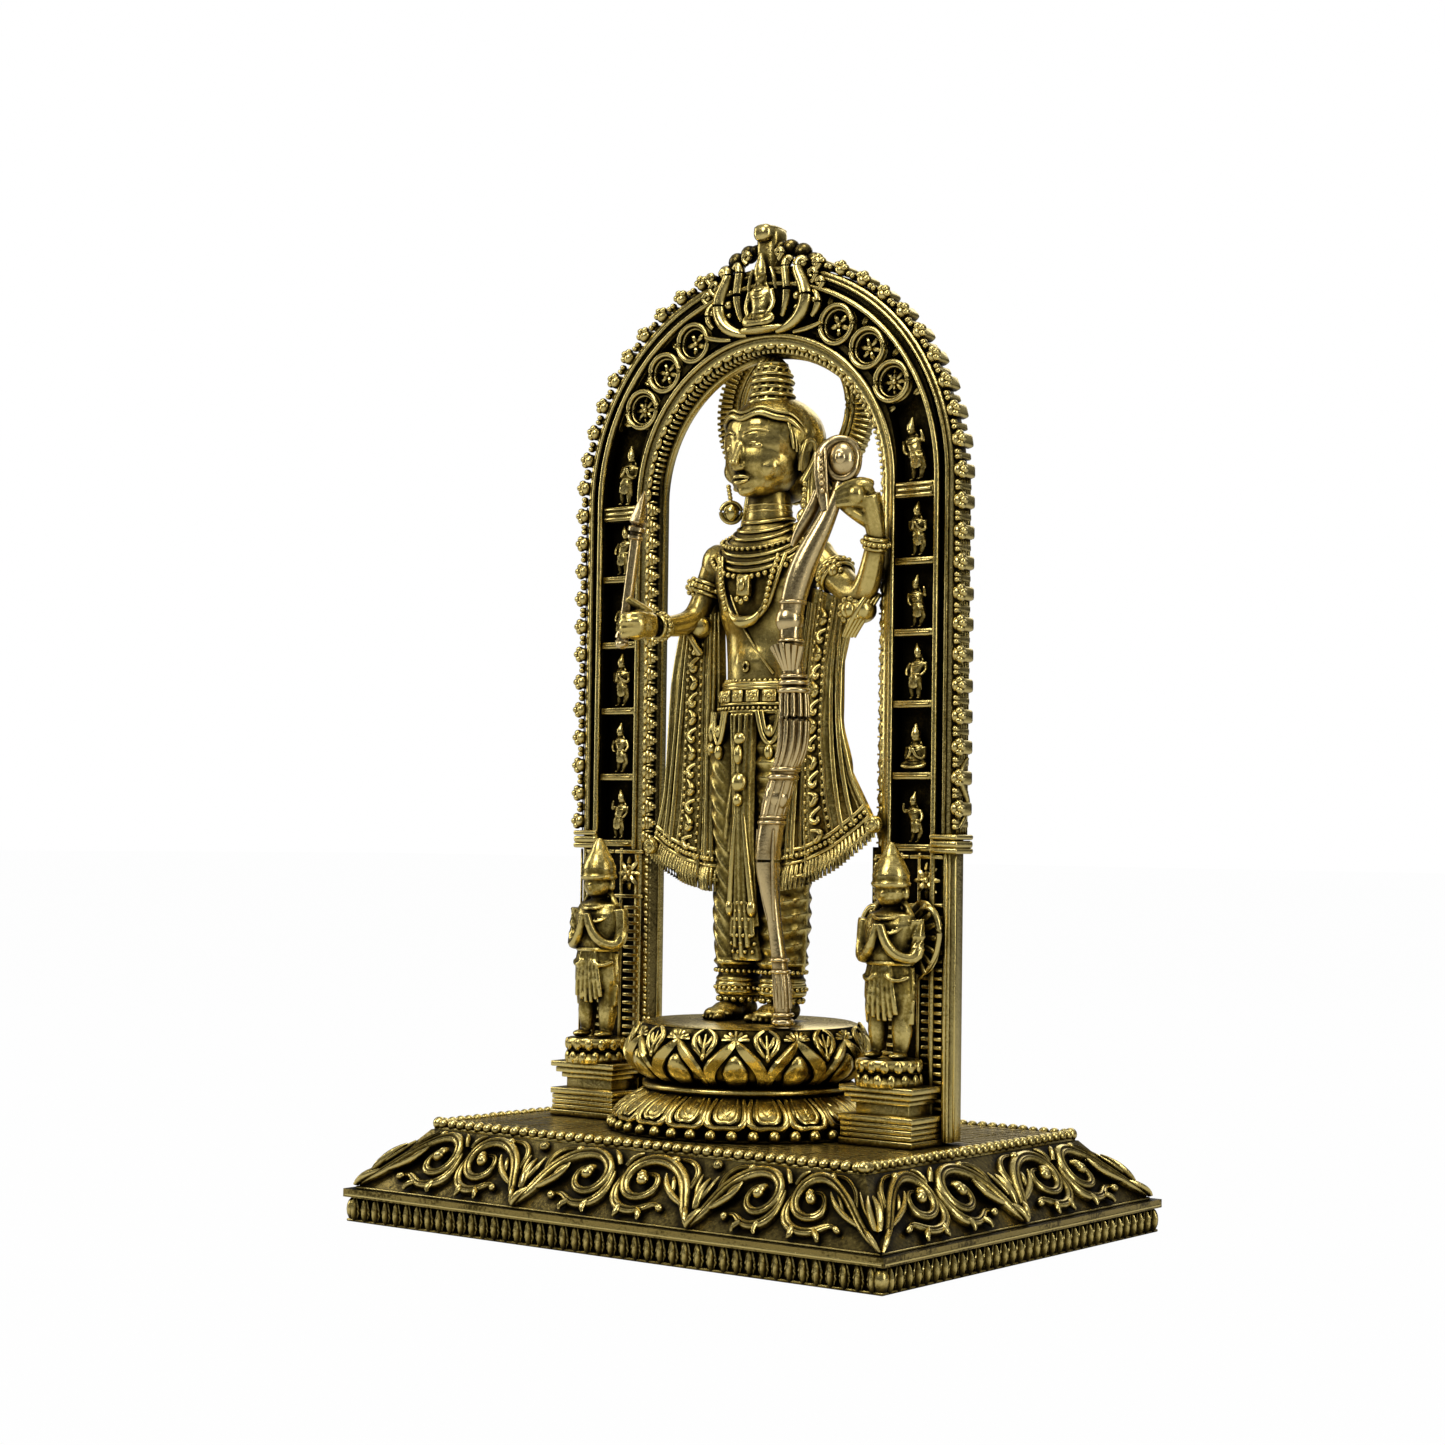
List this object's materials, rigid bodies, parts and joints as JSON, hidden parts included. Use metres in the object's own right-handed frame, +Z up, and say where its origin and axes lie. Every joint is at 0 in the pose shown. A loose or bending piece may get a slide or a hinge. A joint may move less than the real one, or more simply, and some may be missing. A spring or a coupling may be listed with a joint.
{
  "type": "brass temple statue",
  "caption": "Cast brass statue of a standing archer under a niched arch, on a round lotus pedestal and a sloping scrollwork base.",
  "frame": {"origin": "centre of the rectangle on which the foot band rests, at the underside of the base", "axes": "+Z up, along the arch's height; -Y the way the figure faces; +X to the right of somebody standing in front"},
  "size_m": [0.104, 0.08, 0.1618],
  "materials": {
    "base_brass": "antiqued, dark recesses",
    "lotus_brass": "antiqued, polished petal edges",
    "arch_brass": "antiqued, near black ground",
    "figure_brass": "antiqued, polished high spots",
    "weapon_brass": "paler, brushed",
    "fastener_steel": "zinc plated"
  },
  "bodies": {
    "root": {"anklets": "figure_brass", "arch_frame": "arch_brass", "arch_inner_band": "arch_brass", "arch_outer_band": "arch_brass", "arch_screws": "fastener_steel", "arm_left": "figure_brass", "arm_right": "figure_brass", "arrow": "weapon_brass", "attendant_left": "arch_brass", "attendant_right": "arch_brass", "attendant_stand_left": "arch_brass", "attendant_stand_right": "arch_brass", "attendant_wings": "arch_brass", "base_body": "base_brass", "bead_rail": "base_brass", "bow": "weapon_brass", "bracelets": "figure_brass", "crest_backplate": "arch_brass", "crest_figure": "arch_brass", "crest_scrolls": "arch_brass", "earrings": "figure_brass", "floor_plate": "base_brass", "foot_band": "base_brass", "foot_pair": "figure_brass", "halo_lugs": "arch_brass", "halo_ring": "arch_brass", "head": "figure_brass", "legs": "figure_brass", "lotus_collar": "lotus_brass", "lower_lotus": "lotus_brass", "medallions": "arch_brass", "necklaces": "figure_brass", "niche_bars_left": "arch_brass", "niche_bars_right": "arch_brass", "niche_figurines_left": "arch_brass", "niche_figurines_right": "arch_brass", "pedestal_bolt": "fastener_steel", "pedestal_foot": "lotus_brass", "sash": "figure_brass", "scroll_frieze_back": "base_brass", "scroll_frieze_front": "base_brass", "scroll_frieze_left": "base_brass", "scroll_frieze_right": "base_brass", "shawl_left": "figure_brass", "shawl_right": "figure_brass", "shrine_left": "arch_brass", "shrine_right": "arch_brass", "topknot": "figure_brass", "torso": "figure_brass", "upper_lotus": "lotus_brass", "waist_belt": "figure_brass"}
  },
  "joints": []
}
